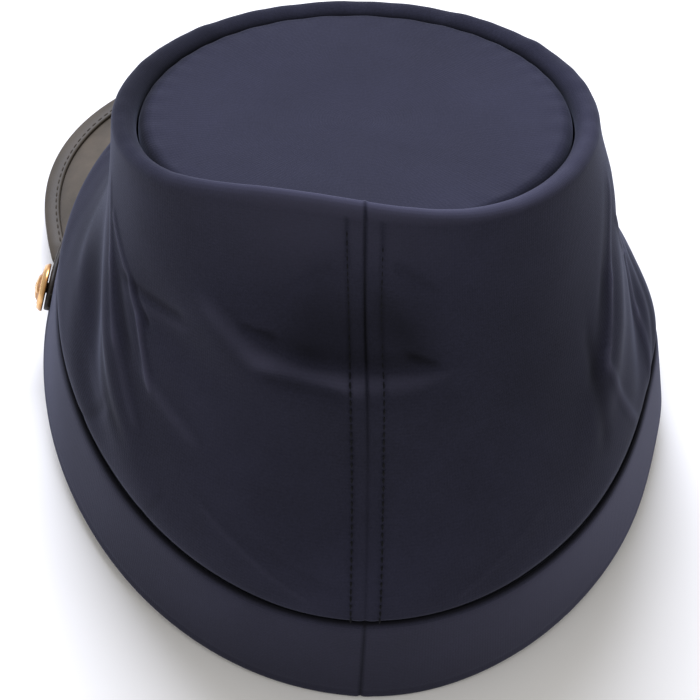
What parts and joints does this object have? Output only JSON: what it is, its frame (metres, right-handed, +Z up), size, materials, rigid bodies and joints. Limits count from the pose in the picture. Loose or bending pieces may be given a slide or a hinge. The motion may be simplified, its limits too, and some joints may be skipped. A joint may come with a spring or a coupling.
{
  "type": "forage cap",
  "caption": "Soft navy wool forage cap with a forward-leaning crown, small round top, plain band, leather peak, chin strap and brass side buttons.",
  "frame": {"origin": "on the ground under the middle of the cap as it rests on its peak and the back of its band", "axes": "+Z up, +Y towards the back of the cap, -Y towards the peak, +X towards the wearer's left"},
  "size_m": [0.1896, 0.2306, 0.1665],
  "materials": {
    "navy_wool": "matt plain woven wool cloth",
    "black_leather": "smooth black leather, semi-gloss",
    "brass": "stamped, lightly worn polish"
  },
  "bodies": {
    "root": {"crown_side": "navy_wool", "crown_top": "navy_wool", "band": "navy_wool", "peak": "black_leather", "peak_binding": "black_leather", "chin_strap": "black_leather", "strap_slide": "brass", "button_left": "brass", "button_right": "brass"}
  },
  "joints": []
}
